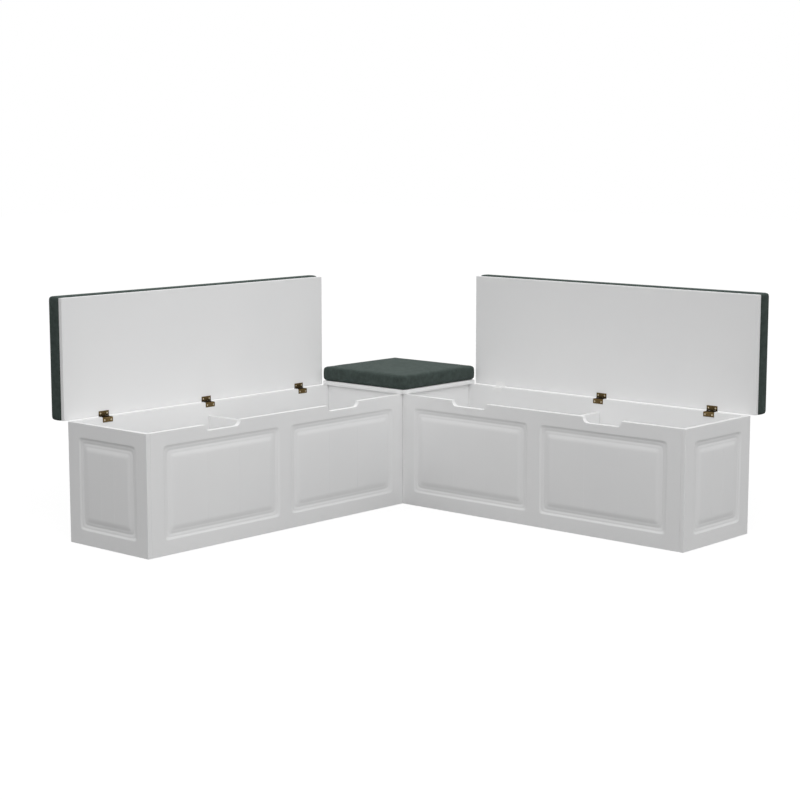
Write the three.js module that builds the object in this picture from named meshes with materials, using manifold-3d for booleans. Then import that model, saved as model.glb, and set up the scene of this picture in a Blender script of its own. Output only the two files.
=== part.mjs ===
// Corner storage bench: two box wings at a right angle, each with a lid on three hinges, joined by a
// fixed corner seat. The lids carry seat cushions and a third cushion lies on the corner.
// Millimetres, +Z up. The right wing runs along +X and the left wing along -Y. It is drawn with both
// lids open at 90 degrees. The origin is the middle of the footprint, on the floor.
import * as THREE from "three";
import { mergeVertices } from "three/addons/utils/BufferGeometryUtils.js";
import Module from "manifold-3d";

const wasm = await Module();
wasm.setup();

// Boxes
const wingLength = 1202; // from the inner corner to the outside of the end panel
const wingDepth = 387; // front face to back face
const boxHeight = 400; // floor to rim
const board = 16; // every upright board
const bottomThickness = 12;
const bottomHeight = 20; // clear height under the bottom board
const housingDepth = 5; // groove that holds the edge of the bottom board
const partitionBelowRim = 48; // rim to the top of the partition

// Finger notches in the front rim, one over each raised panel
const notchWidth = 158;
const notchDepth = 20;

// Raised panels: a moulding routed into the face round a flat field
const fieldSideMargin = 52; // board edge to moulding, and half the stile between two
const fieldTopMargin = 45;
const fieldBottomMargin = 48;
const mouldingWidth = 46;
const mouldingDepth = 6;
const mouldingCornerRadius = 14;
const bevelShare = 0.33; // part of the moulding that is the bevel up to the field
// Across the moulding from its outer edge: share of the width, share of the depth
const mouldingShares = [
  [0, 0], [0.03, 0.16], [0.16, 0.5], [0.27, 0.55], [0.33, 0.74], [0.4, 1],
  [0.46, 1], [0.56, 0.78], [0.67, 0.72], [0.97, 0.08], [1, 0],
];
const planksPerField = 3;
const plankGrooveWidth = 2;
const plankGrooveDepth = 0.6;

// Lids and the corner seat
const lidThickness = 15; // a lid is as long as its wing
const lidFrontOverhang = 13;
const lidRimGap = 0.5; // closed lid to rim
const lidCornerGap = 1; // end of a lid to the top of the corner seat
const cornerTopThickness = 15;
const cornerTopLeftOverhang = 10; // over the end of the left wing
const openAngle = Math.PI / 2;

// Cushions
const cushionThickness = 48; // at the edge
const cushionCrown = 4; // extra height in the middle
const lidCushionFrontOverhang = 2; // past the front edge of the lid
const cornerCushionBackOverhang = 3.5; // past the two outer faces of the corner
const cushionCornerRadius = 10; // in plan
const cushionTopRadius = 9;
const cushionBottomRadius = 8;
const cushionDraw = 1; // how far a side pulls in between its corners
const cushionSidePoints = 6; // points along a side between two corners
const cushionCrownShares = [0.8, 0.5, 0.2]; // rings of the crown, as shares of the edge's reach

// Hinges
const hingeCount = 3;
const hingeEndMargin = 136; // end of the back board to the middle of the nearest hinge
const hingeLength = 42;
const leafThickness = 1.4;
const leafGap = 0.4; // between the two leaves when closed
const lidLeafWidth = 19.5; // pin to free edge
const boxLeafDrop = 16; // down the inner face
const knuckleRadius = 2.4;
const knuckleBore = 1.3;
const knuckleGap = 0.3; // between knuckles, along the pin
const pinRadius = 1.1;
const pinHeadRadius = 1.9;
const pinHeadHeight = 0.8;
const pinBehindBack = 3; // pin axis to the back face
const leafRecessMargin = 0.6; // recess past each end of the leaf
const leafHoleRadius = 1.7;
const leafHoleEndMargin = 7; // hole centre to the end of the leaf
const paintedHinge = "right_hinge_1"; // finished white like the boards, the others bronze

// Screws that hold the corner seat, under its cushion
const screwShankRadius = 2;
const screwHeadRadius = 4;
const screwHeadHeight = 2.6;
const screwLength = 45;
const screwEndMargin = 90; // screw to the side of the corner

const fit = 0.3; // gap between pieces that touch
const over = 2; // every cutter runs this far past the face it opens
const leastCornerRadius = 0.8; // of a rounded corner after its outline has been drawn in
const roundSteps = 12; // sides of a small round piece
const arcSteps = 4; // steps in a quarter round

// Worked out
const pinHeight = boxHeight + lidRimGap - fit - leafThickness - leafGap / 2;
const lidAbovePin = boxHeight + lidRimGap - pinHeight;
const pinDepth = wingDepth + pinBehindBack;
const recessFloor = pinHeight - leafGap / 2 - leafThickness - fit;
const cornerTopRightOverhang = lidFrontOverhang + lidCushionFrontOverhang; // clears the left lid
const leftLidStart = cornerTopLeftOverhang + lidCornerGap; // from the inner corner, along the wing
const rightLidStart = cornerTopRightOverhang + lidCornerGap;
const cushionHeight = cushionThickness + cushionCrown;
const innerLength = wingLength - board; // front and back boards
const interiorMiddle = innerLength / 2;
const fieldLength = (innerLength - 3 * fieldSideMargin) / 2;
const fieldHeight = boxHeight - fieldTopMargin - fieldBottomMargin;
const fieldMiddleHeight = fieldBottomMargin + fieldHeight / 2;
const bottomTop = bottomHeight + bottomThickness;
const openBack = pinDepth + lidAbovePin + lidThickness + fit + cushionHeight;

// Finishes
const whitePaint = { color: 0xf0f0ee, roughness: 0.4, metalness: 0 };
const greenFabric = { color: 0x47524e, roughness: 0.95, metalness: 0 };
const agedBronze = { color: 0x5f4e2c, roughness: 0.4, metalness: 0.9 };
const whiteMetal = { color: 0xe6e6e6, roughness: 0.4, metalness: 0 };
const zincSteel = { color: 0xb9bcc0, roughness: 0.35, metalness: 1 };

function solidOf(geometry) {
  const bare = geometry.clone();
  bare.deleteAttribute("normal");
  bare.deleteAttribute("uv");
  const merged = mergeVertices(bare);
  return new wasm.Manifold(new wasm.Mesh({
    numProp: 3,
    vertProperties: new Float32Array(merged.attributes.position.array),
    triVerts: new Uint32Array(merged.index.array),
  }));
}

function geometryOf(solid) {
  const mesh = solid.getMesh();
  const geometry = new THREE.BufferGeometry();
  geometry.setAttribute("position", new THREE.BufferAttribute(mesh.vertProperties, 3));
  geometry.setIndex(new THREE.BufferAttribute(mesh.triVerts, 1));
  geometry.computeVertexNormals();
  return geometry;
}

function cut(geometry, cutters) {
  let solid = solidOf(geometry);
  for (const cutter of cutters) {
    solid = solid.subtract(solidOf(cutter));
  }
  return geometryOf(solid);
}

function join(geometries) {
  let solid = solidOf(geometries[0]);
  for (const geometry of geometries.slice(1)) {
    solid = solid.add(solidOf(geometry));
  }
  return geometryOf(solid);
}

// A block from its lowest corner to its highest corner.
function block(low, high) {
  const size = high.map((value, axis) => value - low[axis]);
  const geometry = new THREE.BoxGeometry(...size);
  geometry.translate(...low.map((value, axis) => value + size[axis] / 2));
  return geometry;
}

// A round bar along X from one end to the other.
function barAlongX(radius, start, end, y, z) {
  const geometry = new THREE.CylinderGeometry(radius, radius, end - start, roundSteps);
  geometry.rotateZ(-Math.PI / 2);
  geometry.translate((start + end) / 2, y, z);
  return geometry;
}

// An outline in XY, pushed along Z from zero to the given height.
function extrude(outline, height) {
  return new THREE.ExtrudeGeometry(outline, { depth: height, bevelEnabled: false, curveSegments: arcSteps });
}

// Stands a geometry drawn in XY, with +Z outwards, on the front face of a wing.
function onFrontFace(geometry, along, height) {
  const basis = new THREE.Matrix4().makeBasis(
    new THREE.Vector3(1, 0, 0), new THREE.Vector3(0, 0, 1), new THREE.Vector3(0, -1, 0));
  return geometry.clone().applyMatrix4(basis.setPosition(along, 0, height));
}

// The same on the outer face of a wing's end panel.
function onEndFace(geometry, across, height) {
  const basis = new THREE.Matrix4().makeBasis(
    new THREE.Vector3(0, 1, 0), new THREE.Vector3(0, 0, 1), new THREE.Vector3(1, 0, 0));
  return geometry.clone().applyMatrix4(basis.setPosition(wingLength, across, height));
}

// Points of a rounded rectangle about the origin, anticlockwise. sidePoints adds points between the
// corners, where the side pulls in by draw at its middle.
function roundedRectangle(length, width, radius, sidePoints = 0, draw = 0) {
  const corners = [[1, 1, 0], [-1, 1, 1], [-1, -1, 2], [1, -1, 3]];
  const points = [];
  corners.forEach(([sideX, sideY, quarter]) => {
    const centreX = sideX * (length / 2 - radius);
    const centreY = sideY * (width / 2 - radius);
    for (let step = 0; step <= arcSteps; step++) {
      const angle = (quarter + step / arcSteps) * Math.PI / 2;
      points.push([centreX + radius * Math.cos(angle), centreY + radius * Math.sin(angle)]);
    }
    const alongX = quarter % 2 === 0;
    const run = (alongX ? length : width) - 2 * radius;
    for (let step = 1; step <= sidePoints; step++) {
      const share = step / (sidePoints + 1);
      const pull = draw * Math.sin(Math.PI * share);
      points.push(alongX
        ? [centreX - sideX * run * share, sideY * (width / 2 - pull)]
        : [sideX * (length / 2 - pull), centreY - sideY * run * share]);
    }
  });
  return points;
}

// A surface through rings of equal point count. Closed rings go round to the first again, and otherwise
// the first and the last ring are filled to a middle point.
function loft(rings, closed) {
  const count = rings[0].length;
  const positions = rings.flat(2);
  const faces = [];
  const last = closed ? rings.length : rings.length - 1;
  for (let ring = 0; ring < last; ring++) {
    const next = (ring + 1) % rings.length;
    for (let point = 0; point < count; point++) {
      const after = (point + 1) % count;
      const [a, b] = [ring * count + point, ring * count + after];
      const [c, d] = [next * count + after, next * count + point];
      faces.push(a, d, b, b, d, c);
    }
  }
  if (!closed) {
    [0, rings.length - 1].forEach((ring, isLast) => {
      const middle = positions.length / 3;
      positions.push(0, 0, rings[ring][0][2]);
      for (let point = 0; point < count; point++) {
        const [a, b] = [ring * count + point, ring * count + (point + 1) % count];
        faces.push(...(isLast ? [a, middle, b] : [a, b, middle]));
      }
    });
  }
  const geometry = new THREE.BufferGeometry();
  geometry.setAttribute("position", new THREE.BufferAttribute(new Float32Array(positions), 3));
  geometry.setIndex(faces);
  return geometry;
}

// The cutter for one routed moulding, drawn in XY with the face at zero and +Z outwards.
function mouldingCutter(length, height) {
  const section = [[0, over]];
  mouldingShares.forEach(([across, deep]) => section.push([across * mouldingWidth, -deep * mouldingDepth]));
  section.push([mouldingWidth, over]);
  const rings = section.map(([inset, z]) => {
    const radius = Math.max(mouldingCornerRadius - inset, leastCornerRadius);
    return roundedRectangle(length - 2 * inset, height - 2 * inset, radius).map(([x, y]) => [x, y, z]);
  });
  return loft(rings, true);
}

// The shallow lines that part a field into planks.
function plankCutters(length, height) {
  const flat = length - 2 * mouldingWidth;
  const run = height - 2 * mouldingWidth * (1 - bevelShare);
  const spread = (plankGrooveWidth / 2) * (1 + over / plankGrooveDepth);
  const outline = new THREE.Shape([
    new THREE.Vector2(-spread, over),
    new THREE.Vector2(0, -plankGrooveDepth),
    new THREE.Vector2(spread, over),
  ]);
  const lines = [];
  for (let line = 1; line < planksPerField; line++) {
    const groove = extrude(outline, run);
    groove.rotateX(Math.PI / 2);
    groove.translate(flat * (line / planksPerField - 1 / 2), run / 2, 0);
    lines.push(groove);
  }
  return lines;
}

function raisedFieldCutters(length, height) {
  return [mouldingCutter(length, height), ...plankCutters(length, height)];
}

// A finger notch with quarter-round lower corners, drawn in XY below the rim at zero.
function notchOutline() {
  const half = notchWidth / 2;
  const outline = new THREE.Shape();
  outline.moveTo(-half, over);
  outline.lineTo(-half, 0);
  outline.absarc(-half + notchDepth, 0, notchDepth, Math.PI, Math.PI * 3 / 2, false);
  outline.absarc(half - notchDepth, 0, notchDepth, Math.PI * 3 / 2, Math.PI * 2, false);
  outline.lineTo(half, over);
  return outline;
}

// A cushion lying on zero: round edges, sides that pull in between the corners and a crown.
function cushionGeometry(length, width) {
  const section = [];
  for (let step = 0; step <= arcSteps; step++) {
    const angle = (step / arcSteps) * Math.PI / 2;
    section.push([cushionBottomRadius * (1 - Math.sin(angle)), cushionBottomRadius * (1 - Math.cos(angle))]);
  }
  for (let step = 0; step <= arcSteps; step++) {
    const angle = (step / arcSteps) * Math.PI / 2;
    section.push([
      cushionTopRadius * (1 - Math.cos(angle)),
      cushionThickness - cushionTopRadius * (1 - Math.sin(angle)),
    ]);
  }
  const rings = section.map(([inset, z]) => {
    const radius = Math.max(cushionCornerRadius - inset, leastCornerRadius);
    return roundedRectangle(length - 2 * inset, width - 2 * inset, radius, cushionSidePoints, cushionDraw)
      .map(([x, y]) => [x, y, z]);
  });
  const edge = rings[rings.length - 1];
  const crownStart = cushionCrownShares[cushionCrownShares.length - 1];
  cushionCrownShares.forEach((reach) => {
    const rise = 1 - ((reach - crownStart) / (1 - crownStart)) ** 2;
    rings.push(edge.map(([x, y]) => [x * reach, y * reach, cushionThickness + cushionCrown * rise]));
  });
  return loft(rings.map((ring) => ring.slice().reverse()), false);
}

function piece(name, geometry, finish) {
  const mesh = new THREE.Mesh(geometry, new THREE.MeshStandardMaterial(finish));
  mesh.name = name;
  return mesh;
}

// Every wing is drawn as the right one: X along the wing from the inner corner line, Y from its front
// face to its back, Z up.
const fieldMiddles = [0, 1].map(
  (index) => fieldSideMargin + fieldLength / 2 + index * (fieldLength + fieldSideMargin));
const hingePitch = (innerLength - 2 * hingeEndMargin) / (hingeCount - 1);
const hingeMiddles = [...Array(hingeCount).keys()].map((index) => hingeEndMargin + index * hingePitch);

function bottomHousing(low, high) {
  return block([-over, low, bottomHeight - fit], [innerLength + over, high, bottomTop + fit]);
}

function frontPanel() {
  const panel = block([fit, 0, 0], [innerLength - fit, board, boxHeight]);
  const cutters = [bottomHousing(board - housingDepth, board + over)];
  fieldMiddles.forEach((middle) => {
    raisedFieldCutters(fieldLength, fieldHeight).forEach((cutter) => {
      cutters.push(onFrontFace(cutter, middle, fieldMiddleHeight));
    });
    const notch = extrude(notchOutline(), board + 2 * over);
    notch.translate(0, 0, -board - over);
    cutters.push(onFrontFace(notch, middle, boxHeight));
  });
  return cut(panel, cutters);
}

function backPanel() {
  const panel = block([fit, wingDepth - board, 0], [innerLength - fit, wingDepth, boxHeight]);
  const cutters = [bottomHousing(wingDepth - board - over, wingDepth - board + housingDepth)];
  const half = hingeLength / 2 + leafRecessMargin;
  hingeMiddles.forEach((middle) => {
    cutters.push(block(
      [middle - half, wingDepth - board - over, recessFloor],
      [middle + half, wingDepth + over, boxHeight + over]));
  });
  return cut(panel, cutters);
}

function outerEndPanel() {
  const panel = block([innerLength, 0, 0], [wingLength, wingDepth, boxHeight]);
  const cutters = raisedFieldCutters(wingDepth - 2 * fieldSideMargin, fieldHeight)
    .map((cutter) => onEndFace(cutter, wingDepth / 2, fieldMiddleHeight));
  return cut(panel, cutters);
}

function bottomPanel() {
  const reach = board - housingDepth + fit;
  return block([fit, reach, bottomHeight], [innerLength - fit, wingDepth - reach, bottomTop]);
}

function partition() {
  return block(
    [interiorMiddle - board / 2, board + fit, bottomTop + fit],
    [interiorMiddle + board / 2, wingDepth - board - fit, boxHeight - partitionBelowRim]);
}

// One hinge along X, with its pin axis on the X axis and its middle at zero. The box leaf has the two
// outer knuckles and folds over the rim. The lid leaf has the middle knuckle and is drawn closed.
const knuckleLength = (hingeLength - 2 * knuckleGap) / 3;
const middleKnuckle = [-knuckleLength / 2, knuckleLength / 2];
const outerKnuckles = [
  [-hingeLength / 2, -knuckleLength / 2 - knuckleGap],
  [knuckleLength / 2 + knuckleGap, hingeLength / 2],
];
const knuckleRoom = knuckleRadius + leafGap;

function leafHoles(makeHole) {
  const reach = hingeLength / 2 - leafHoleEndMargin;
  return [-reach, reach].map(makeHole);
}

function boxLeaf() {
  const top = -leafGap / 2;
  const inside = -pinBehindBack - board - fit;
  const flange = block(
    [-hingeLength / 2, inside - leafThickness, top - leafThickness], [hingeLength / 2, 0, top]);
  const drop = block(
    [-hingeLength / 2, inside - leafThickness, top - boxLeafDrop], [hingeLength / 2, inside, top]);
  const knuckles = outerKnuckles.map(([start, end]) => barAlongX(knuckleRadius, start, end, 0, 0));
  const room = block(
    [middleKnuckle[0] - knuckleGap, -knuckleRoom, -knuckleRoom],
    [middleKnuckle[1] + knuckleGap, knuckleRoom, knuckleRoom]);
  const bore = barAlongX(knuckleBore, -hingeLength / 2 - over, hingeLength / 2 + over, 0, 0);
  const holeHeight = top - leafThickness - (boxLeafDrop - leafThickness) / 2;
  const holes = leafHoles((x) => {
    const hole = new THREE.CylinderGeometry(
      leafHoleRadius, leafHoleRadius, leafThickness + 2 * over, roundSteps);
    hole.translate(x, inside - leafThickness / 2, holeHeight);
    return hole;
  });
  return cut(cut(join([flange, drop, ...knuckles]), [room]), [bore, ...holes]);
}

function lidLeaf() {
  const low = leafGap / 2;
  const plate = block(
    [-hingeLength / 2, -lidLeafWidth, low], [hingeLength / 2, 0, low + leafThickness]);
  const end = hingeLength / 2 + over;
  const rooms = [[-end, middleKnuckle[0]], [middleKnuckle[1], end]].map(([from, to]) => block(
    [from, -knuckleRoom, -knuckleRoom], [to, knuckleRoom, knuckleRoom]));
  const knuckle = barAlongX(knuckleRadius, ...middleKnuckle, 0, 0);
  const bore = barAlongX(knuckleBore, -hingeLength / 2 - over, hingeLength / 2 + over, 0, 0);
  const holes = leafHoles((x) => {
    const hole = new THREE.CylinderGeometry(
      leafHoleRadius, leafHoleRadius, leafThickness + 2 * over, roundSteps);
    hole.rotateX(Math.PI / 2);
    hole.translate(x, -(knuckleRoom + lidLeafWidth) / 2, low + leafThickness / 2);
    return hole;
  });
  return cut(join([cut(plate, rooms), knuckle]), [bore, ...holes]);
}

function hingePin() {
  const end = hingeLength / 2 + fit;
  const shank = barAlongX(pinRadius, -end, end, 0, 0);
  const heads = [-1, 1].map((side) => {
    const [start, stop] = [side * end, side * (end + pinHeadHeight)];
    return barAlongX(pinHeadRadius, Math.min(start, stop), Math.max(start, stop), 0, 0);
  });
  return join([shank, ...heads]);
}

function hingePiece(side, index, part, geometry) {
  const hinge = side + "_hinge_" + (index + 1);
  return piece(hinge + "_" + part, geometry, hinge === paintedHinge ? whiteMetal : agedBronze);
}

// The lid and what is fixed to it, drawn closed about the pin axis. The group turns it open.
function lidGroup(side, start) {
  const group = new THREE.Group();
  const rear = -pinBehindBack;
  const front = rear - wingDepth - lidFrontOverhang;
  group.add(piece(side + "_lid_panel",
    block([start, front, lidAbovePin], [start + wingLength, rear, lidAbovePin + lidThickness]), whitePaint));
  const cushionFront = front - lidCushionFrontOverhang;
  const cushion = cushionGeometry(wingLength, rear - cushionFront);
  cushion.translate(
    start + wingLength / 2, (cushionFront + rear) / 2, lidAbovePin + lidThickness + fit);
  group.add(piece(side + "_lid_cushion", cushion, greenFabric));
  hingeMiddles.forEach((middle, index) => {
    const leaf = hingePiece(side, index, "lid_leaf", lidLeaf());
    leaf.position.x = middle;
    group.add(leaf);
  });
  group.position.set(0, pinDepth, pinHeight);
  group.rotation.x = -openAngle;
  return group;
}

function wingGroup(side, lidStart) {
  const wing = new THREE.Group();
  wing.add(piece(side + "_front_panel", frontPanel(), whitePaint));
  wing.add(piece(side + "_back_panel", backPanel(), whitePaint));
  wing.add(piece(side + "_outer_end_panel", outerEndPanel(), whitePaint));
  wing.add(piece(side + "_bottom_panel", bottomPanel(), whitePaint));
  wing.add(piece(side + "_partition", partition(), whitePaint));
  hingeMiddles.forEach((middle, index) => {
    const leaf = hingePiece(side, index, "box_leaf", boxLeaf());
    const pin = hingePiece(side, index, "pin", hingePin());
    [leaf, pin].forEach((part) => {
      part.position.set(middle, pinDepth, pinHeight);
      wing.add(part);
    });
  });
  wing.add(lidGroup(side, lidStart));
  return wing;
}

// The corner seat stands behind the inner corner: X from -wingDepth to 0, Y from 0 to wingDepth.
const cornerCushionReach = wingDepth + cornerCushionBackOverhang;
const screwPlaces = [
  [-screwEndMargin, board / 2], [screwEndMargin - wingDepth, board / 2],
  [-screwEndMargin, wingDepth - board / 2], [screwEndMargin - wingDepth, wingDepth - board / 2],
];
const cornerTopBase = boxHeight + fit;
const screwHeadTop = cornerTopBase + cornerTopThickness;

// A countersunk screw with its point down, made wider by room for the hole that it sits in.
function screw(room, x, y) {
  const radius = screwShankRadius + room;
  const headRadius = screwHeadRadius + room;
  const top = room ? screwHeadTop + over : screwHeadTop - fit;
  const tip = screwHeadTop - screwLength - room;
  const profile = [
    [0, tip], [radius, tip], [radius, screwHeadTop - screwHeadHeight - fit],
    [headRadius, screwHeadTop - fit],
  ];
  if (room) {
    profile.push([headRadius, top]);
  }
  profile.push([0, top]);
  const geometry = new THREE.LatheGeometry(profile.map(([r, z]) => new THREE.Vector2(r, z)), roundSteps);
  geometry.rotateX(Math.PI / 2);
  geometry.translate(x, y, 0);
  return geometry;
}

function drilled(geometry) {
  return cut(geometry, screwPlaces.map(([x, y]) => screw(fit, x, y)));
}

function cornerGroup() {
  const corner = new THREE.Group();
  const add = (name, geometry) => corner.add(piece("corner_" + name, geometry, whitePaint));
  add("left_wall", drilled(block([-wingDepth, fit, 0], [0, board, boxHeight])));
  add("right_wall", block([-board, board + fit, 0], [0, wingDepth, boxHeight]));
  add("right_back_panel", drilled(block(
    [-wingDepth, wingDepth - board, 0], [-board - fit, wingDepth, boxHeight])));
  add("left_back_panel", block(
    [-wingDepth, board + fit, 0], [board - wingDepth, wingDepth - board - fit, boxHeight]));
  add("bottom_panel", block(
    [board + fit - wingDepth, board + fit, bottomHeight],
    [-board - fit, wingDepth - board - fit, bottomTop]));
  add("top_panel", drilled(block(
    [-wingDepth, -cornerTopLeftOverhang, cornerTopBase],
    [cornerTopRightOverhang, wingDepth, screwHeadTop])));
  const cushion = cushionGeometry(
    cornerCushionReach + cornerTopRightOverhang, cornerCushionReach + cornerTopLeftOverhang);
  cushion.translate(
    (cornerTopRightOverhang - cornerCushionReach) / 2,
    (cornerCushionReach - cornerTopLeftOverhang) / 2,
    screwHeadTop + fit);
  corner.add(piece("corner_cushion", cushion, greenFabric));
  screwPlaces.forEach(([x, y], index) => {
    corner.add(piece("corner_top_screw_" + (index + 1), screw(0, x, y), zincSteel));
  });
  return corner;
}

const bench = new THREE.Group();
const rightWing = wingGroup("right", rightLidStart);
const leftWing = wingGroup("left", leftLidStart);
leftWing.rotation.z = -Math.PI / 2; // along -Y, with its back towards -X, as a mirror image
leftWing.scale.y = -1;
bench.add(rightWing, leftWing, cornerGroup());

const lowest = [-openBack, -leftLidStart - wingLength];
const highest = [rightLidStart + wingLength, openBack];
bench.position.set(-(lowest[0] + highest[0]) / 2, -(lowest[1] + highest[1]) / 2, 0);

export default bench;
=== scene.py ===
"""Corner storage bench with its two lids open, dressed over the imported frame. Metres, +Z up.

The right wing runs along +X and the left wing along -Y from the corner seat. The sections follow the
object as it is put together: boards, corner, lids, hinges, cushions, and then the room that it stands in.
"""
import math

import bmesh
import bpy
import numpy as np
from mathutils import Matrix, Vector


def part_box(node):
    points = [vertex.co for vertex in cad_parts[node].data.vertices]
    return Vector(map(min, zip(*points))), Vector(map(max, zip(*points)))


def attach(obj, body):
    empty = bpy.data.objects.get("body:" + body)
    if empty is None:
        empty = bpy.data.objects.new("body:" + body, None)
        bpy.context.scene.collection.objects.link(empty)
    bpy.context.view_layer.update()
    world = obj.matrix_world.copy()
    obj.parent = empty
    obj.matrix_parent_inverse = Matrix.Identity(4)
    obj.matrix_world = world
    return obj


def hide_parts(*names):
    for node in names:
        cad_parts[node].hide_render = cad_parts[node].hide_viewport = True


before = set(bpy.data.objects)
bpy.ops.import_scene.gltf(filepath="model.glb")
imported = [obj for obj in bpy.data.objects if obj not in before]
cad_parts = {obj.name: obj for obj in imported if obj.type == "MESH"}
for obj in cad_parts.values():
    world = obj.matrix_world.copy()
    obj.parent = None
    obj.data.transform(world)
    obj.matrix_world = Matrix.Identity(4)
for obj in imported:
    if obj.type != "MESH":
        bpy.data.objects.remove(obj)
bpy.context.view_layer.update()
mm = 0.001

# The camera
# It looks down a little on the inner corner through a long lens, from the right of its front. Its place
# from that corner, and its aim, were worked out from the corners of the boxes.
inner_corner = (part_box("corner_right_wall")[1][0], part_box("right_front_panel")[0][1], 0)
camera_reach = (4.4322, -4.9698, 1.3414)
camera_turn = math.radians(41.81)  # from +Y towards -X
camera_dip = math.radians(8.23)  # below the level
camera_lens = 84.29
camera_sensor = 36
camera_data = bpy.data.cameras.new("camera")
camera_data.sensor_width = camera_sensor
camera_data.lens = camera_lens
camera = bpy.data.objects.new("camera", camera_data)
camera.location = np.add(inner_corner, camera_reach)
camera.rotation_euler = (math.pi / 2 - camera_dip, 0, camera_turn)
bpy.context.scene.collection.objects.link(camera)
bpy.context.scene.camera = camera

# The boards of the wings
# Sixteen millimetre fibreboard under a satin white lacquer. Every edge is eased by a fine arris, and
# the front and end boards have raised fields, which a cutter has routed round.
lacquer_shade = (0.862, 0.864, 0.866)
lacquer_light = (0.880, 0.881, 0.880)
arris = 0.7 * mm
arris_steps = 4
support = 0.5 * mm  # flat strip beside a rounded edge
line_decimals = 7  # of a metre: lines and points that agree to this are one
wing_axes = {"right": ((1, 0, 0), (0, 1, 0)), "left": ((0, -1, 0), (-1, 0, 0))}  # along, back
upward = (0, 0, 1)

moulding_width = 47 * mm
moulding_softness = 6 * mm  # its lines turn a corner with a radius of about one and a half times this
moulding_step = 1.0 * mm  # between grid lines
field_side_margin = 52 * mm
field_top_margin = 45 * mm
field_bottom_margin = 48 * mm
# The cutter's profile from the outer edge of the moulding to the field
moulding_across = np.array([0, 0.8, 8, 12, 18, 19.5, 24.5, 29, 38, 42.5, 47]) * mm
moulding_deep = np.array([0, 0.1, 2.7, 2.9, 4.1, 4.1, 3.3, 3.05, 1.0, 0.35, 0]) * mm
moulding_ease = 1.5 * mm  # run over which the paint rounds the profile's creases
moulding_ease_samples = 9
plank_groove_width = 2 * mm
plank_groove_shares = np.array([-0.7, -0.5, -0.25, 0, 0.25, 0.5, 0.7])  # lines over it, of its width
plank_start_share = 0.75  # of the moulding's width, where the grooves begin
plank_groove_depth = 0.5 * mm
notch_width = 158 * mm
notch_depth = 20 * mm
notch_steps = 10
hinge_count = 3
hinge_end_margin = 136 * mm
hinge_recess_half = 21.6 * mm  # from its middle to its sides
hinge_recess_depth = 3.3 * mm
hinge_recess_step = 0.01 * mm  # from the outline to the lines on both sides of it


def add_node(owner, kind, inputs=(), **settings):
    """A node of a material or of the world, with its settings. A socket given as an input is linked, and
    a value is set."""
    tree = owner.node_tree
    node = tree.nodes.new("ShaderNode" + kind)
    for name, value in settings.items():
        setattr(node, name, value)
    for socket, value in dict(inputs).items():
        if isinstance(value, bpy.types.NodeSocket):
            tree.links.new(value, node.inputs[socket])
        else:
            node.inputs[socket].default_value = value
    return node


def new_material(name, **values):
    """A material, its shader with the given plain values, and its object coordinates."""
    material = bpy.data.materials.new(name)
    material.use_nodes = True
    shader = material.node_tree.nodes["Principled BSDF"]
    for socket, value in values.items():
        shader.inputs[socket.replace("_", " ")].default_value = value
    place = add_node(material, "TexCoord").outputs["Object"]
    return material, shader, place


def link(owner, output, node, socket):
    """Links an output to a socket of a node, by the socket's name."""
    owner.node_tree.links.new(output, node.inputs[socket])


def add_cloud(material, place, scale, detail, roughness=0.5):
    """A cloudy value over the piece, from 0 to 1. A larger scale makes smaller clouds."""
    cloud = add_node(material, "TexNoise", {
        "Vector": place, "Scale": scale, "Detail": detail, "Roughness": roughness})
    return cloud.outputs["Fac"]


def two_tones(material, share, dark, light, start=0.0, end=1.0):
    """A colour that goes from the dark tone to the light one as the share goes from start to end."""
    tone = add_node(material, "ValToRGB", {"Fac": share})
    for stop, position, colour in zip(tone.color_ramp.elements, (start, end), (dark, light)):
        stop.position = position
        stop.color = (*colour, 1)
    return tone.outputs["Color"]


def add_gloss(material, shader, share, smooth, dull):
    """Roughness that goes from smooth to dull with the share."""
    gloss = add_node(material, "MapRange", {"Value": share, "To Min": smooth, "To Max": dull})
    link(material, gloss.outputs["Result"], shader, "Roughness")


def add_bump(material, shader, height, strength, distance):
    """A bump of the surface that follows the height."""
    bump = add_node(material, "Bump", {"Height": height, "Strength": strength, "Distance": distance})
    link(material, bump.outputs["Normal"], shader, "Normal")


def white_lacquer():
    """Satin white paint with a slightly uneven gloss and a trace of orange peel."""
    material, shader, place = new_material("white_lacquer", Specular_IOR_Level=0.4)
    cloud = add_cloud(material, place, scale=3, detail=3)
    tone = two_tones(material, cloud, lacquer_shade, lacquer_light, start=0.3, end=0.7)
    link(material, tone, shader, "Base Color")
    patches = add_cloud(material, place, scale=14, detail=4)
    add_gloss(material, shader, patches, smooth=0.36, dull=0.5)
    peel = add_cloud(material, place, scale=420, detail=2)
    add_bump(material, shader, peel, strength=0.05, distance=0.2 * mm)
    return material


def grid_lines(length, marks=(), radius=arris):
    """Lines from 0 to length: a cosine run over the rounding at both ends, and the marks in between."""
    turn = np.linspace(0, math.pi / 2, arris_steps + 1)
    edge = np.append(radius * (1 - np.cos(turn)), radius * (1 + support / arris))
    lines = np.concatenate([edge, length - edge, np.ravel(marks)])
    return np.unique(np.round(lines, line_decimals))


def arris_fall(u, v, length, height, radius=arris):
    """Drop of the face near its edges: a quarter circle, over the distance to both edges at a corner."""
    past_u = np.maximum(radius - np.minimum(u, length - u), 0)
    past_v = np.maximum(radius - np.minimum(v, height - v), 0)
    past = np.minimum(np.hypot(past_u, past_v), radius)
    return radius - np.sqrt(radius**2 - past**2)


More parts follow.
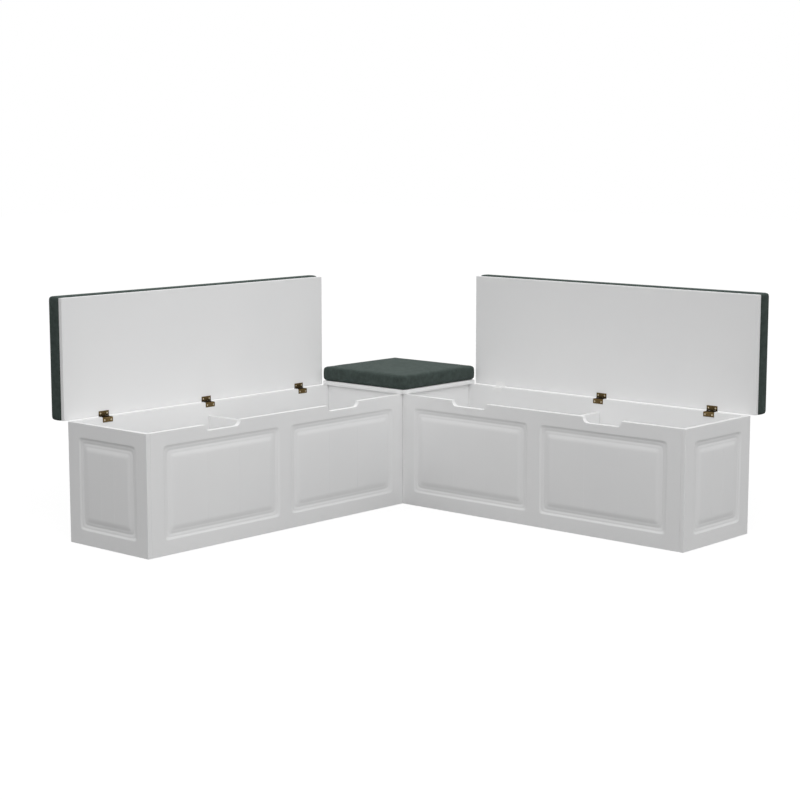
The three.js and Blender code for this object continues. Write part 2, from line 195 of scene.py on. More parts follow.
def skin(count_u, count_v):
    """Quads of a closed skin over two equal grids of points: both faces, and a strip along each edge."""
    index = np.arange(count_u * count_v).reshape(count_u, count_v)
    face = np.stack([index[:-1, :-1], index[:-1, 1:], index[1:, 1:], index[1:, :-1]], -1).reshape(-1, 4)
    ring = np.concatenate([index[0, :-1], index[:-1, -1], index[-1, :0:-1], index[:0:-1, 0]])
    after = np.roll(ring, -1)
    strip = np.stack([ring, ring + index.size, after + index.size, after], -1)
    return np.concatenate([face, face[:, ::-1] + index.size, strip])


def mesh_object(name, points, faces):
    """A mesh object at the origin, with its place in its points."""
    mesh = bpy.data.meshes.new(name)
    mesh.from_pydata(np.reshape(points, (-1, 3)), [], faces)
    thing = bpy.data.objects.new(name, mesh)
    bpy.context.scene.collection.objects.link(thing)
    return thing


def new_piece(name, points, faces, material, body, replaced=()):
    """A smooth-shaded piece that rides on a body and stands for the replaced nodes."""
    piece = mesh_object(name, points, faces)
    piece.data.shade_smooth()
    piece.data.materials.append(material)
    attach(piece, body)
    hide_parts(*replaced)
    return piece


def board_frame(node, axes):
    """The corner of a node's box from which the three axes point into it, and its size along each."""
    low, high = (np.array(corner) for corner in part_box(node))
    start = np.where(np.sum(axes, 0) > 0, low, high)
    return start, np.abs(axes @ (high - low))


def board(node, axes, body="bench", marks_u=(), marks_v=(), relief=None, rim_fall=None, rim_from=0,
          radius=arris):
    """A board in the box of a node. The axes run along its face, up its face and into its thickness, and
    the radius is that of its edges.

    The face is a grid over (u, v), pushed in by the arris and by the relief, and the back is the same
    grid with its arris alone. Above rim_from the grid is drawn down, so that its top line follows the
    rim, which falls by rim_fall(u).
    """
    axes = np.array(axes, float)
    start, (length, height, thickness) = board_frame(node, axes)
    lines = grid_lines(length, marks_u, radius), grid_lines(height, marks_v, radius)
    u, v = np.meshgrid(*lines, indexing="ij")
    fall = arris_fall(u, v, length, height, radius)
    deep = fall if relief is None else np.maximum(fall, relief(u, v))
    if rim_fall is not None:
        below_edge = height - radius - support
        v = v - rim_fall(u) * np.clip((v - rim_from) / (below_edge - rim_from), 0, 1)
    front = np.stack([u, v, deep], -1)
    back = np.stack([u, v, thickness - fall], -1)
    faces = skin(*u.shape)
    if np.linalg.det(axes) < 0:
        faces = faces[:, ::-1]
    points = start + np.concatenate([front.reshape(-1, 3), back.reshape(-1, 3)]) @ axes
    name = node.replace("_panel", "") + "_board"
    return new_piece(name, points, faces, lacquer, body, [node])


def moulding_profile(distance):
    """Depth of the moulding at a distance in from its outline: the cutter's profile, with its creases
    eased by averaging it over a short run."""
    shifts = np.linspace(-0.5, 0.5, moulding_ease_samples) * moulding_ease
    return np.mean([np.interp(distance + shift, moulding_across, moulding_deep, 0, 0)
                    for shift in shifts], 0)


def raised_field(u, v, middle_u, middle_v, length, height):
    """Depth of one raised field: the profile over the distance in from a rectangle, or the fine grooves
    that part the flat field into three planks, whichever is deeper. The distance is the soft minimum of
    those to two sides, -r log(exp(-a/r) + exp(-b/r)), so that the cutter's lines are round at corners."""
    in_u = length / 2 - abs(u - middle_u)
    in_v = height / 2 - abs(v - middle_v)
    distance = -moulding_softness * np.logaddexp(-in_u / moulding_softness, -in_v / moulding_softness)
    deep = moulding_profile(distance)
    on_field = distance > moulding_width * plank_start_share
    for groove in plank_lines(middle_u, length):
        slope = 1 - abs(u - groove) / (plank_groove_width / 2)
        deep = np.maximum(deep, plank_groove_depth * np.clip(slope, 0, 1) * on_field)
    return deep


def plank_lines(middle, length):
    """The two lines that part a field into thirds."""
    flat = length - 2 * moulding_width
    return [middle - flat / 6, middle + flat / 6]


def moulding_marks(middle, length):
    """Grid lines over the two runs of moulding at the ends of a field."""
    run = np.arange(0, moulding_width + moulding_step / 2, moulding_step)
    run = np.concatenate([[-support], run, [moulding_width + support]])
    return np.concatenate([middle - length / 2 + run, middle + length / 2 - run])


def plank_marks(middle, length):
    """Grid lines over the grooves between the planks."""
    return np.add.outer(plank_lines(middle, length), plank_groove_shares * plank_groove_width).ravel()


def notch_fall(u, middles):
    """How far the rim falls: a flat floor with a quarter round at each end, under every field."""
    flat = notch_width / 2 - notch_depth
    nearest = np.min([abs(u - middle) for middle in middles], 0)
    return np.sqrt(notch_depth**2 - np.clip(nearest - flat, 0, notch_depth) ** 2)


def notch_marks(middle):
    """Grid lines over the quarter rounds of a notch, closest where they stand upright."""
    flat = notch_width / 2 - notch_depth
    turn = np.linspace(0, math.pi / 2, notch_steps + 1)
    round_end = flat + notch_depth * np.sin(turn)
    side = np.concatenate([[flat - support], round_end, [notch_width / 2 + support]])
    return np.concatenate([middle - side, middle + side])


def routed_board(node, axes, fields, notched):
    """A board with raised fields in a row, and a finger notch over each where it is notched."""
    _, (length, height, _) = board_frame(node, np.array(axes, float))
    stile = field_side_margin
    field_length = (length - (fields + 1) * stile) / fields
    field_height = height - field_top_margin - field_bottom_margin
    middle_v = field_bottom_margin + field_height / 2
    middles = [stile + field_length / 2 + index * (field_length + stile) for index in range(fields)]
    marks_u = [moulding_marks(m, field_length) for m in middles] + [
        plank_marks(m, field_length) for m in middles]
    if notched:
        marks_u += [notch_marks(m) for m in middles]
    return board(
        node, axes, marks_u=np.concatenate(marks_u), marks_v=moulding_marks(middle_v, field_height),
        relief=lambda u, v: np.max([
            raised_field(u, v, m, middle_v, field_length, field_height) for m in middles], 0),
        rim_fall=(lambda u: notch_fall(u, middles)) if notched else None,
        rim_from=height - field_top_margin + support)


def hinge_middles(length):
    """Where the hinges are: evenly spaced between the two margins."""
    return np.linspace(hinge_end_margin, length - hinge_end_margin, hinge_count)


def recess_fall(u, middles):
    """The rim of a back board falls under each hinge, with upright sides."""
    nearest = np.min([abs(u - middle) for middle in middles], 0)
    return hinge_recess_depth * (nearest < hinge_recess_half)


def recess_marks(middle):
    """Grid lines close to both upright sides of a recess."""
    side = hinge_recess_half + np.array([-support, -hinge_recess_step, hinge_recess_step, support])
    return np.concatenate([middle - side, middle + side])


lacquer = white_lacquer()
for side, (along, back) in wing_axes.items():
    outward = tuple(-value for value in along)
    routed_board(side + "_front_panel", (along, upward, back), 2, True)
    routed_board(side + "_outer_end_panel", (back, upward, outward), 1, False)
    back_node = side + "_back_panel"
    _, (back_length, back_height, _) = board_frame(back_node, np.array((along, upward, back), float))
    middles = hinge_middles(back_length)
    board(back_node, (along, upward, back), marks_u=np.concatenate([recess_marks(m) for m in middles]),
          rim_fall=lambda u, middles=middles: recess_fall(u, middles), rim_from=back_height / 2)
    board(side + "_partition", (back, upward, along))
    board(side + "_bottom_panel", (along, back, (0, 0, -1)))

# The corner seat
# Two inner walls, two back boards and a bottom board of the same lacquered fibreboard, butted together
# under a fixed top. Four countersunk screws of zinc plated steel hold the top, and the cushion hides them.
corner_boards = {
    "corner_left_wall": ((1, 0, 0), upward, (0, 1, 0)),
    "corner_right_wall": ((0, 1, 0), upward, (-1, 0, 0)),
    "corner_right_back_panel": ((1, 0, 0), upward, (0, 1, 0)),
    "corner_left_back_panel": ((0, -1, 0), upward, (-1, 0, 0)),
    "corner_bottom_panel": ((1, 0, 0), (0, 1, 0), (0, 0, -1)),
}
corner_screws = ["corner_top_screw_%d" % number for number in (1, 2, 3, 4)]
butted_arris = 0.2 * mm  # of boards that meet others on all sides
screw_hole_radius = 4.4 * mm
screw_hole_depth = 3.0 * mm
screw_hole_shares = np.linspace(-1.1, 1.1, 23)  # lines over a hole, of its radius
zinc_dull = (0.45, 0.46, 0.48)
zinc_bright = (0.66, 0.67, 0.68)
top_axes = np.array(((1, 0, 0), (0, 1, 0), (0, 0, -1)), float)
top_start, _ = board_frame("corner_top_panel", top_axes)
screw_places = np.array([np.mean(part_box(node), 0) - top_start for node in corner_screws])
hole_marks = screw_hole_shares * screw_hole_radius


def screw_holes(u, v):
    """Depth of the holes for the screw heads: the same for every point within the radius of a screw."""
    nearest = np.min([np.hypot(u - place[0], v - place[1]) for place in screw_places], 0)
    return screw_hole_depth * (nearest < screw_hole_radius)


def zinc_plate():
    """Bright zinc plating with a faint cloud of dull patches."""
    material, shader, place = new_material("zinc_plate", Metallic=1.0)
    cloud = add_cloud(material, place, scale=400, detail=3)
    link(material, two_tones(material, cloud, zinc_dull, zinc_bright), shader, "Base Color")
    add_gloss(material, shader, cloud, smooth=0.22, dull=0.42)
    return material


for node, axes in corner_boards.items():
    board(node, axes, radius=butted_arris)
board("corner_top_panel", top_axes, marks_u=np.add.outer(screw_places[:, 0], hole_marks),
      marks_v=np.add.outer(screw_places[:, 1], hole_marks), relief=screw_holes)
zinc = zinc_plate()
for node in corner_screws:
    screw_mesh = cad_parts[node].data
    screw_mesh.materials.clear()
    screw_mesh.materials.append(zinc)

# The lids
# Plain boards of fibreboard in the same white lacquer, each carried by its three hinges. They stand open
# at a right angle, so that the photograph shows their undersides.
for side, (along, back) in wing_axes.items():
    board(side + "_lid_panel", (along, upward, back), body=side + "_lid")

# The hinges
# Each lid has three, of two leaves of bronze sheet rolled into eyes round a pin, each held by two screws.
# One leaf folds over the rim of the back board, and the other lies under the lid. The hinge of the right
# lid that is nearest the corner is painted white.
leaf_length = 42 * mm
leaf_thickness = 1.4 * mm
leaf_middle = 0.9 * mm  # pin axis to the middle of a leaf
leaf_edge = 0.25 * mm  # rounding of its edges
leaf_bend = 1.2 * mm
leaf_bend_steps = 6
lid_leaf_width = 19.5 * mm  # pin to free edge
box_leaf_reach = 20.0 * mm  # pin to the middle of the fold
box_leaf_foot = 16.2 * mm  # pin down to the free edge
eye_radius = 1.85 * mm  # to the middle of the rolled sheet
eye_thickness = 1.1 * mm
eye_turn = math.radians(275)
eye_gap = 0.3 * mm  # between two eyes, along the pin
eye_room = 2.5 * mm  # pin to the edge of the leaf between its eyes
eye_start = 6 * mm  # where the strip of an eye leaves its leaf
eye_slope = 2.6 * mm
eye_slope_steps = 8
eye_turn_steps = 24
pin_radius = 1.1 * mm
pin_head = 1.9 * mm
pin_head_height = 0.8 * mm
pin_head_shares = np.array([(1, 0), (1, 0.55), (0.9, 0.8), (0.6, 0.97), (0, 1)])  # of height and radius
turned_steps = 24
weld_gap = 1e-6  # points closer than this are joined
leaf_screw_head = 2.9 * mm
leaf_screw_crown = 0.25 * mm
leaf_screw_shank = 1.4 * mm
leaf_screw_length = 10 * mm
leaf_screw_point = 2.1 * mm
leaf_screw_rings = 12
leaf_screw_margin = 7 * mm  # to the end of the leaf
leaf_screw_rise = 8.9 * mm  # below the pin, on the folded leaf
leaf_screw_reach = 11.15 * mm  # from the pin, on the lid's leaf
cross_length = 1.7 * mm
cross_width = 0.7 * mm
cross_depth = 0.8 * mm
cross_rise_share = 0.6  # of its depth, by its ends
# Painted shade and dark reflection in the eyes and the fold round the pin: nearly black within the first
# distance, fading out by the second
pin_shade_full = 2.1 * mm  # from the pin
pin_shade_end = 9.1 * mm
pin_shade_black = (0.012, 0.008, 0.003, 1)
bronze_dark = (0.112, 0.074, 0.030)
bronze_light = (0.205, 0.145, 0.068)
brass_dark = (0.62, 0.52, 0.35)
brass_light = (0.88, 0.78, 0.58)
enamel_shade = (0.86, 0.86, 0.86)
enamel_light = (0.91, 0.91, 0.90)
painted_hinge = "right_hinge_1"


def aged_bronze():
    """Bronze plate with uneven tones on its flats, and painted shade and dark reflection near the pin,
    where it turns nearly black and dull.
    """
    material, shader, place = new_material(
        "aged_bronze", Specular_IOR_Level=0.1, Specular_Tint=(0.2, 0.15, 0.08, 1))
    cloud = add_cloud(material, place, scale=260, detail=5, roughness=0.65)
    tone = two_tones(material, cloud, bronze_dark, bronze_light, start=0.3, end=0.72)
    # A mark on the points carries the painted shade round the pin: it darkens the colour there and takes
    # away the metal
    pin_shade = add_node(material, "Attribute", attribute_name="pin_shade").outputs["Fac"]
    mixed = add_node(material, "MixRGB", {"Fac": pin_shade, "Color1": tone, "Color2": pin_shade_black})
    link(material, mixed.outputs["Color"], shader, "Base Color")
    bare = add_node(material, "Math", {0: 1.0, 1: pin_shade}, operation="SUBTRACT")
    link(material, bare.outputs["Value"], shader, "Metallic")
    add_gloss(material, shader, cloud, smooth=0.3, dull=0.5)
    add_bump(material, shader, cloud, strength=0.2, distance=0.1 * mm)
    return material


def screw_brass():
    """Pale brass of the screw heads, with fine wear marks."""
    material, shader, place = new_material("screw_brass", Metallic=1.0)
    wear = add_cloud(material, place, scale=900, detail=3)
    link(material, two_tones(material, wear, brass_dark, brass_light), shader, "Base Color")
    add_gloss(material, shader, wear, smooth=0.2, dull=0.35)
    return material


def white_enamel():
    """Thick white paint on metal, a little uneven."""
    material, shader, place = new_material("white_enamel", Specular_IOR_Level=0.5)
    cloud = add_cloud(material, place, scale=200, detail=3)
    link(material, two_tones(material, cloud, enamel_shade, enamel_light), shader, "Base Color")
    add_gloss(material, shader, cloud, smooth=0.25, dull=0.4)
    add_bump(material, shader, cloud, strength=0.15, distance=0.1 * mm)
    return material


def flat_line(start):
    """The straight run of a leaf from its far end to the edge between its eyes, as (back, up) points."""
    return np.array([(start, -leaf_middle), (-eye_room, -leaf_middle)])


def folded_line():
    """The folded leaf: a straight run up the inner face, a quarter bend, and a straight run to the pin."""
    turn = np.linspace(math.pi, math.pi / 2, leaf_bend_steps + 1)
    centre = np.array([leaf_bend - box_leaf_reach, -leaf_middle - leaf_bend])
    bend = centre + leaf_bend * np.stack([np.cos(turn), np.sin(turn)], -1)
    return np.concatenate([[(-box_leaf_reach, -box_leaf_foot)], bend, [(-eye_room, -leaf_middle)]])


def eye_line():
    """The strip of an eye: a straight run within the leaf, a smooth slope down by the cubic step, and
    most of a circle round the pin."""
    share = np.linspace(0, 1, eye_slope_steps + 1)
    down = share**2 * (3 - 2 * share)
    slope = np.stack([eye_slope * (share - 1), -leaf_middle - (eye_radius - leaf_middle) * down], -1)
    turn = np.linspace(0, eye_turn, eye_turn_steps + 1)[1:] - math.pi / 2
    return np.concatenate([[(-eye_start, -leaf_middle)], slope,
                           eye_radius * np.stack([np.cos(turn), np.sin(turn)], -1)])


def bent_sheet(path, start, end, thickness):
    """A strip of sheet, as (along, back, up) points: its section's middle line, carried along the pin
    from start to end. Each face stands off that line by half the thickness along the line's normal,
    less the rounding near the edges."""
    run = np.concatenate([[0], np.cumsum(np.linalg.norm(np.diff(path, axis=0), axis=1))])
    lines = grid_lines(run[-1], run[1:-1], leaf_edge)
    section = np.stack([np.interp(lines, run, path[:, 0]), np.interp(lines, run, path[:, 1])], -1)
    tangent = np.gradient(section, lines, axis=0)
    tangent /= np.linalg.norm(tangent, axis=1, keepdims=True)
    normal = np.stack([-tangent[:, 1], tangent[:, 0]], -1)
    u, v = np.meshgrid(lines, grid_lines(end - start, (), leaf_edge), indexing="ij")
    half = thickness / 2 - arris_fall(u, v, run[-1], end - start, leaf_edge)
    offset = half[..., None] * normal[:, None]
    along = (start + v)[..., None]
    grids = [np.concatenate([along, section[:, None] + side * offset], -1) for side in (1, -1)]
    return np.reshape(grids, (-1, 3)), skin(*u.shape)


def lathe(profile):
    """A shape turned about the first axis: each (along, radius) row of the profile becomes a ring, and
    rows go up along the axis from pole to pole."""
    turn = np.arange(turned_steps) * 2 * math.pi / turned_steps
    along, radius = np.array(profile, float).T
    points = np.stack([np.repeat(along, turned_steps), np.outer(radius, np.cos(turn)).ravel(),
                       np.outer(radius, np.sin(turn)).ravel()], -1)
    index = np.arange(len(points)).reshape(len(along), turned_steps)
    after = np.roll(index, -1, axis=1)
    return points, np.stack([index[:-1], index[1:], after[1:], after[:-1]], -1).reshape(-1, 4)[:, ::-1]


def hinge_pin():
    """A plain rod with a rounded head at each end, whose section is five points."""
    head = pin_head_shares * (pin_head_height, pin_head)
    end = leaf_length / 2 + eye_gap
    low = np.concatenate([head * (-1, 1) - (end, 0), [(-end, pin_radius)]])
    return lathe(np.concatenate([low, low[::-1] * (-1, 1)]))


def leaf_screw():
    """A flat-headed screw along the first axis, its head at zero. Its crown falls off with the fourth
    power of the radius, and a cross is sunk in it, less deep towards its ends."""
    ring = np.linspace(1, 0, leaf_screw_rings + 1)
    crown = np.stack([leaf_screw_crown * (1 - ring**4), leaf_screw_head * ring], -1)
    shank = np.array([(-leaf_screw_length, 0), (leaf_screw_point - leaf_screw_length, leaf_screw_shank),
                      (-leaf_thickness, leaf_screw_shank)])
    points, faces = lathe(np.concatenate([shank, crown]))
    away = np.hypot(points[:, 1], points[:, 2])
    aside = np.minimum(abs(points[:, 1]), abs(points[:, 2]))
    in_cross = (aside < cross_width / 2) & (away < cross_length) & (points[:, 0] > 0)
    points[:, 0] -= in_cross * cross_depth * (1 - cross_rise_share * away / cross_length)
    return points, faces


def two_screws(back, up, turned):
    """A screw near each end of a leaf, at a place of its section, turned to face out of the leaf."""
    points, faces = leaf_screw()
    reach = leaf_length / 2 - leaf_screw_margin
    return [(points @ np.array(turned, float) + (along, back, up), faces) for along in (-reach, reach)]


def opened(parts):
    """Takes what is drawn under the pin to the open lid: over the pin, and then a quarter turn back, so
    that what pointed forward points up."""
    return [(np.stack([points[:, 0], -points[:, 2], -points[:, 1]], -1), faces[:, ::-1])
            for points, faces in parts]


def hinge_part(name, parts, place, axes, finish, body, replaced=()):
    """Puts parts drawn about the pin, as (along, back, up), in their place and closes their poles. The
    shade painted round the pin is 1 near it, and falls evenly to 0 with the distance from it."""
    counts = np.cumsum([0] + [len(points) for points, _ in parts])
    points = np.concatenate([points for points, _ in parts])
    faces = np.concatenate([faces + count for (_, faces), count in zip(parts, counts)])
    if np.linalg.det(axes) < 0:
        faces = faces[:, ::-1]
    piece = new_piece(name, place + points @ axes, faces, finish, body, replaced)
    shell = bmesh.new()
    shell.from_mesh(piece.data)
    bmesh.ops.remove_doubles(shell, verts=shell.verts, dist=weld_gap)
    shell.to_mesh(piece.data)
    shell.free()
    where = np.empty(len(piece.data.vertices) * 3, np.float32)
    piece.data.vertices.foreach_get("co", where)
    beside_pin = (where.reshape(-1, 3) - place) @ axes.T
    away = np.hypot(beside_pin[:, 1], beside_pin[:, 2])
    # Painted shade round the pin: 1 close to it, falling to 0 further out
    pin_shade = np.clip((pin_shade_end - away) / (pin_shade_end - pin_shade_full), 0, 1)
    mark = piece.data.attributes.new("pin_shade", "FLOAT", "POINT")
    mark.data.foreach_set("value", pin_shade.astype(np.float32))


bronze, brass, enamel = aged_bronze(), screw_brass(), white_enamel()
leaf_end = leaf_length / 2
eye_half = (leaf_length - 2 * eye_gap) / 6  # half of one of three eyes
outer_eyes = ((-leaf_end, -eye_half - eye_gap), (eye_half + eye_gap, leaf_end))
box_leaf = [bent_sheet(folded_line(), -leaf_end, leaf_end, leaf_thickness)]
box_leaf += [bent_sheet(eye_line(), *ends, eye_thickness) for ends in outer_eyes]
lid_leaf = opened([bent_sheet(flat_line(-lid_leaf_width), -leaf_end, leaf_end, leaf_thickness),
                   bent_sheet(eye_line(), -eye_half, eye_half, eye_thickness)])
box_screws = two_screws(-box_leaf_reach - leaf_thickness / 2, -leaf_screw_rise,
                        ((0, -1, 0), (1, 0, 0), (0, 0, 1)))
lid_screws = opened(two_screws(-leaf_screw_reach, leaf_thickness / 2 - leaf_middle,
                               ((0, 0, 1), (1, 0, 0), (0, 1, 0))))
for side, (along, back) in wing_axes.items():
    axes = np.array((along, back, upward), float)
    lid_body = side + "_lid"
    for number in range(1, hinge_count + 1):
        hinge = side + "_hinge_%d" % number
        place = np.mean(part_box(hinge + "_pin"), 0)
        painted = hinge == painted_hinge
        finish, screw_finish = (enamel, enamel) if painted else (bronze, brass)
        hinge_part(hinge + "_box_plate", box_leaf, place, axes, finish, "bench",
                   [hinge + "_box_leaf"])
        hinge_part(hinge + "_lid_plate", lid_leaf, place, axes, finish, lid_body,
                   [hinge + "_lid_leaf"])
        hinge_part(hinge + "_rod", [hinge_pin()], place, axes, finish, "bench",
                   [hinge + "_pin"])
        hinge_part(hinge + "_box_screws", box_screws, place, axes, screw_finish, "bench")
        hinge_part(hinge + "_lid_screws", lid_screws, place, axes, screw_finish, lid_body)

# The cushions
# Firm foam in a dark green woven cover, one on each lid and one on the corner. The cover is two panels
# sewn to a border, with a plain seam round the top and round the underside, which is flat on its board.
cushion_corner = 11 * mm  # radius in plan
cushion_top_edge = 10 * mm
cushion_bottom_edge = 11 * mm
cushion_least_corner = 1 * mm
cushion_crown = 2 * mm
cushion_side_rise = 0.7 * mm  # of the crown, at the middle of a side
cushion_draw = 0.4 * mm  # of a side, at its middle against its ends
cushion_bulge = 1.5 * mm  # of the sides, between the top and the underside
cushion_proud = 2.6 * mm  # how far a cover stands past the lid's front and rear
cushion_end_proud = 4.8 * mm  # past the lid's outer end
cushion_top_proud = 1.5 * mm
corner_cushion_proud = 1.2 * mm  # past its two outer sides
cushion_edge_shares = (0, 0.17, 0.5, 1, 1.6)  # lines near a corner, as shares of its radius
cushion_spacing = 12 * mm  # between lines elsewhere
cushion_swell = 1.5 * mm  # most that a point may move out as the cover is blown up
cushion_frames = 20
cushion_pressure = 4
seam_depth = 1.0 * mm
on_edge = 1e-6  # a point this close to an edge is on it
least_length = 1e-9  # stands in for a length of zero in a division
weave_dark = (0.038, 0.050, 0.0455)
weave_light = (0.066, 0.086, 0.0785)


def merged(owner, values, operation):
    """One value out of several, by the same step of arithmetic from each to the next."""
    value = values[0]
    for other in values[1:]:
        value = add_node(owner, "Math", {0: value, 1: other}, operation=operation).outputs["Value"]
    return value


def green_weave():
    """Woven upholstery cover: crossing threads, a soft mottle and a little sheen."""
    material, shader, place = new_material(
        "green_weave", Roughness=0.9, Sheen_Weight=0.06, Sheen_Roughness=0.5,
        Sheen_Tint=(0.8, 1, 0.93, 1), Specular_IOR_Level=0.08)
    mottle = add_cloud(material, place, scale=50, detail=6, roughness=0.75)
    tone = two_tones(material, mottle, weave_dark, weave_light, start=0.32, end=0.68)
    link(material, tone, shader, "Base Color")
    threads = [add_node(material, "TexWave", {"Vector": place, "Scale": 230, "Distortion": 0.6},
                        bands_direction=direction).outputs["Fac"] for direction in "XYZ"]
    add_bump(material, shader, merged(material, threads, "ADD"), strength=0.35, distance=0.3 * mm)
    return material


def cover_lines(length):
    """Lines along a side of the cover about its middle: close together near its ends, and even between."""
    near = cushion_top_edge * np.array(cushion_edge_shares)
    count = max(2, round((length - 2 * near[-1]) / cushion_spacing) + 1)
    between = np.linspace(near[-1], length - near[-1], count)
    return np.concatenate([near[:-1], between, length - near[:-1][::-1]]) - length / 2


def box_cover(size):
    """Points and quads of a closed box about the origin: a grid on each of its six faces, joined where
    their borders meet."""
    points, faces, count = [], [], 0
    for axis in range(3):
        first, second = (axis + 1) % 3, (axis + 2) % 3
        for sign in (-1, 1):
            lines = np.meshgrid(cover_lines(size[first]), cover_lines(size[second]), indexing="ij")
            grid = np.full(lines[0].shape + (3,), sign * size[axis] / 2)
            grid[..., first], grid[..., second] = lines
            index = count + np.arange(lines[0].size).reshape(lines[0].shape)
            quads = np.stack([index[:-1, :-1], index[1:, :-1], index[1:, 1:], index[:-1, 1:]], -1)
            faces.append(quads.reshape(-1, 4)[:, ::sign])
            points.append(grid.reshape(-1, 3))
            count += index.size
    points, joined = np.unique(
        np.round(np.concatenate(points), line_decimals), axis=0, return_inverse=True)
    return points, joined.reshape(-1)[np.concatenate(faces)]


def cushion_form(size):
    """A box with soft edges, about the origin, and a mark on the points of its two seams. Its section is
    rounded first: a point's inset from the sides and its height go to the nearest point of a smaller
    box's section, and out from there by the edge radius. Then the ring at that inset has its corners
    rounded in the same way. Sides are drawn in by the cube of the share of the half size, more towards
    the top and the underside. The crown rises with 1 - s^4 from each side, s being 1 there."""
    half = size / 2
    points, faces = box_cover(size)
    inset = np.min(half[:2] - abs(points[:, :2]), 1)
    seam = (inset < on_edge) & (half[2] - abs(points[:, 2]) < on_edge)
    edge = np.where(points[:, 2] > 0, cushion_top_edge, cushion_bottom_edge)
    core = np.stack([np.maximum(inset, edge), np.clip(points[:, 2], edge - half[2], half[2] - edge)], -1)
    out = np.stack([inset, points[:, 2]], -1) - core
    out *= (edge / np.maximum(np.linalg.norm(out, axis=1), least_length))[:, None]
    drawn, level = (core + out).T
    near = (inset < edge)[:, None]
    ring = half[:2] - drawn[:, None]
    plan = points[:, :2] * ring / np.maximum(half[:2] - inset[:, None], least_length)
    plan = np.where(near, plan, points[:, :2])
    corner = np.maximum(cushion_corner - drawn, cushion_least_corner)[:, None]
    inner = np.clip(plan, corner - ring, ring - corner)
    out = plan - inner
    reach = np.linalg.norm(out, axis=1, keepdims=True)
    plan = np.where(near & (reach > 0), inner + corner * out / np.maximum(reach, least_length), plan)
    share = plan / half[:2]
    plan = plan - cushion_draw * share**3 * (1 - share[:, ::-1] ** 2)
    plan = plan - cushion_bulge * share**3 * (level / half[2])[:, None] ** 2
    top = np.clip(level / half[2], 0, 1)
    rise = cushion_side_rise * (1 - np.prod(share**4, 1))
    rise += (cushion_crown - cushion_side_rise) * np.prod(1 - share**4, 1)
    return np.concatenate([plan, (level + top * rise)[:, None]], 1), faces, seam


def blown_up(points, faces):
    """Where the points of a closed cover go when its cloth is blown up for some frames."""
    cover = mesh_object("cover", points, faces)
    cloth = cover.modifiers.new("cloth", "CLOTH")
    cloth.settings.use_pressure = True
    cloth.settings.uniform_pressure_force = cushion_pressure
    cloth.settings.effector_weights.gravity = 0
    cloth.point_cache.frame_end = cushion_frames
    for step in range(1, cushion_frames + 1):
        bpy.context.scene.frame_set(step)
    made = cover.evaluated_get(bpy.context.evaluated_depsgraph_get())
    mesh = made.to_mesh()
    ends = np.empty(len(mesh.vertices) * 3, np.float32)
    mesh.vertices.foreach_get("co", ends)
    made.to_mesh_clear()
    bpy.data.objects.remove(cover)
    bpy.context.scene.frame_set(1)
    return ends.reshape(-1, 3).astype(float)


def cover_normals(points, faces):
    """The outward normals of a cover at its points."""
    cover = mesh_object("cover", points, faces)
    normals = np.empty(len(points) * 3, np.float32)
    cover.data.vertex_normals.foreach_get("vector", normals)
    bpy.data.objects.remove(cover)
    return normals.reshape(-1, 3).astype(float)


def sewn_cushion(size):
    """Points and faces of a cushion that lies on zero and fills its size. Its form is blown up a little
    as cloth: a point moves out along its normal, by no more than the swell, and not below the board.
    The cushion is then brought to its size, and its seams are drawn in along the cover's normals."""
    size = np.array(size)
    points, faces, seam = cushion_form(size - (0, 0, cushion_crown))
    normals = cover_normals(points, faces)
    swell = np.sum((blown_up(points, faces) - points) * normals, 1, keepdims=True)
    board_level = points[:, 2].min()
    points = points + np.clip(swell, 0, cushion_swell) * normals
    points[:, 2] = np.maximum(points[:, 2], board_level)
    low, high = points.min(0), points.max(0)
    points = (points - low) * size / (high - low)
    return points - seam_depth * seam[:, None] * cover_normals(points, faces), faces


def lay_cushion(node, axes, form, body, shift):
    axes = np.array(axes, float)
    start, _ = board_frame(node, axes)
    start = start - np.dot(shift, axes)
    points, faces = form
    if np.linalg.det(axes) < 0:
        faces = faces[:, ::-1]
    cushion = new_piece(
        node.replace("cushion", "seat_cushion"), start + points @ axes, faces, weave, body,
        [node])
    smooth = cushion.modifiers.new("smooth", "SUBSURF")
    smooth.levels = smooth.render_levels = 1


weave = green_weave()
lid_axes = np.array((wing_axes["right"][0], upward, wing_axes["right"][1]), float)
lid_size = board_frame("right_lid_cushion", lid_axes)[1]
lid_form = sewn_cushion(lid_size + (cushion_end_proud, 2 * cushion_proud, cushion_top_proud))
for side, (along, back) in wing_axes.items():
    lay_cushion(side + "_lid_cushion", (along, upward, back), lid_form, side + "_lid",
                shift=(0, cushion_proud, 0))
corner_size = board_frame("corner_cushion", np.eye(3))[1]
corner_form = sewn_cushion(corner_size + (corner_cushion_proud, corner_cushion_proud, cushion_top_proud))
lay_cushion("corner_cushion", np.eye(3), corner_form, "bench", shift=(corner_cushion_proud, 0, 0))

# The room
# A plain floor and surround that show white. The floor throws back the light of a pale grey one, and a
# faint shadow of the bench stays on it. The world's light and wide soft lamps stand in for a studio.
floor_size = 40  # each side
floor_grey = 0.05  # of the light that it throws back on the bench
floor_glow = 0.88  # the white that it shows without any lamp
floor_shade = 0.15  # the white that the lamps add, and that a shadow takes away
world_level = 0.3  # of white, as light on the bench
# Each far lamp: where its light comes from, as an angle from +X towards +Y and one above the level, both
# in degrees, and its strength
far_lamps = {"right_lamp": (0, 20, 1.22), "front_lamp": (-90, 50, 0.93), "back_lamp": (135, 50, 1.02)}
far_lamp_spread = math.radians(80)
far_lamp_distance = 1.5  # from the inner corner, which changes nothing in the light of such a lamp
near_lamp_place = np.array((2.5, -2.5, 2.5))  # from the inner corner, as its aim is
near_lamp_aim = np.array((0.3, -0.3, 0.3))
near_lamp_size = 1.5
near_lamp_power = 23.6


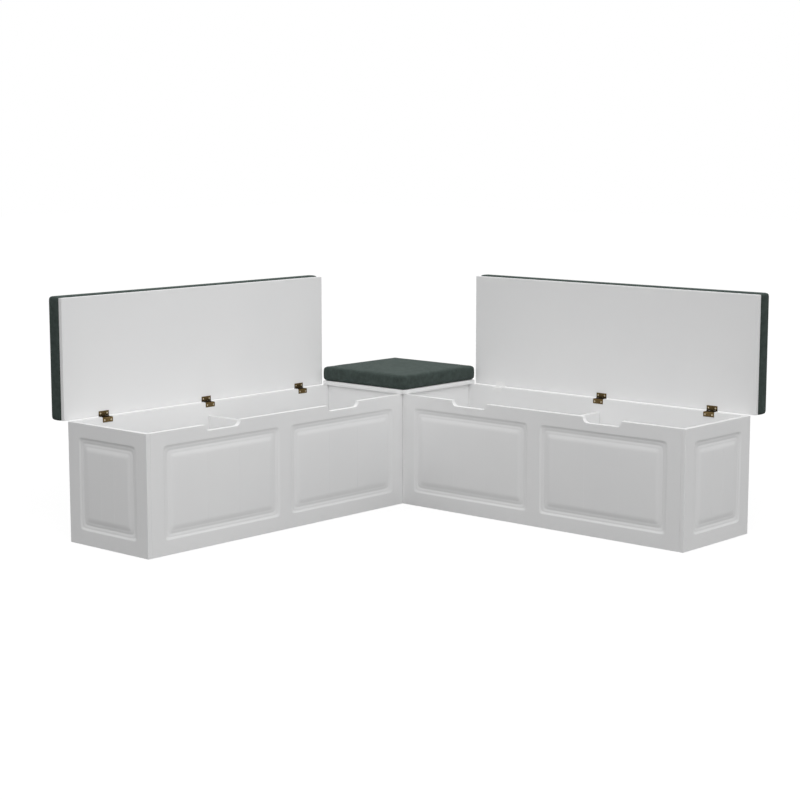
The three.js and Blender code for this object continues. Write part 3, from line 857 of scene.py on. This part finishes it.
def seen_directly(owner):
    """1 for a ray from the camera, off gloss or through glass, and 0 for one that carries light on."""
    rays = add_node(owner, "LightPath")
    kinds = ("Is Camera Ray", "Is Glossy Ray", "Is Transmission Ray")
    return merged(owner, [rays.outputs[kind] for kind in kinds], "MAXIMUM")


def floor_paint():
    """A grey diffuse floor for light, and for what is seen a white glow with a little white paint."""
    material, shader, _ = new_material("floor_paint", Roughness=1.0, Specular_IOR_Level=0.0)
    shader.inputs["Base Color"].default_value = (floor_grey, floor_grey, floor_grey, 1)
    paint = add_node(material, "BsdfDiffuse", {"Color": (floor_shade, floor_shade, floor_shade, 1)})
    glow = add_node(material, "Emission", {"Color": (1, 1, 1, 1), "Strength": floor_glow})
    white = add_node(material, "AddShader", {0: paint.outputs["BSDF"], 1: glow.outputs["Emission"]})
    mixed = add_node(material, "MixShader", {
        0: seen_directly(material), 1: shader.outputs["BSDF"], 2: white.outputs["Shader"]})
    link(material, mixed.outputs["Shader"], material.node_tree.nodes["Material Output"], "Surface")
    return material


floor_corners = np.array([(-1, -1, 0), (1, -1, 0), (1, 1, 0), (-1, 1, 0)]) * floor_size / 2
floor = mesh_object("floor", floor_corners, [(0, 1, 2, 3)])
floor.data.materials.append(floor_paint())


def add_lamp(name, kind, place, aim, **settings):
    """A lamp at a place, turned so that its light goes towards the aim."""
    data = bpy.data.lights.new(name, kind)
    for setting, value in settings.items():
        setattr(data, setting, value)
    lamp = bpy.data.objects.new(name, data)
    lamp.location = place
    lamp.rotation_euler = Vector(aim - place).to_track_quat("-Z", "Y").to_euler()
    bpy.context.scene.collection.objects.link(lamp)


for name, (azimuth, elevation, strength) in far_lamps.items():
    azimuth, elevation = math.radians(azimuth), math.radians(elevation)
    level_share = math.cos(elevation)
    towards = np.array((
        level_share * math.cos(azimuth), level_share * math.sin(azimuth), math.sin(elevation)))
    add_lamp(name, "SUN", inner_corner + far_lamp_distance * towards, np.array(inner_corner),
             energy=strength, angle=far_lamp_spread)
add_lamp("near_lamp", "AREA", inner_corner + near_lamp_place, inner_corner + near_lamp_aim,
         energy=near_lamp_power, size=near_lamp_size)

world = bpy.data.worlds.new("studio")
bpy.context.scene.world = world
world.use_nodes = True
level = add_node(world, "MapRange", {
    "Value": seen_directly(world), "To Min": world_level, "To Max": 1.0})
background = world.node_tree.nodes["Background"]
background.inputs["Color"].default_value = (1, 1, 1, 1)
link(world, level.outputs["Result"], background, "Strength")

bpy.context.scene.view_settings.view_transform = "Standard"
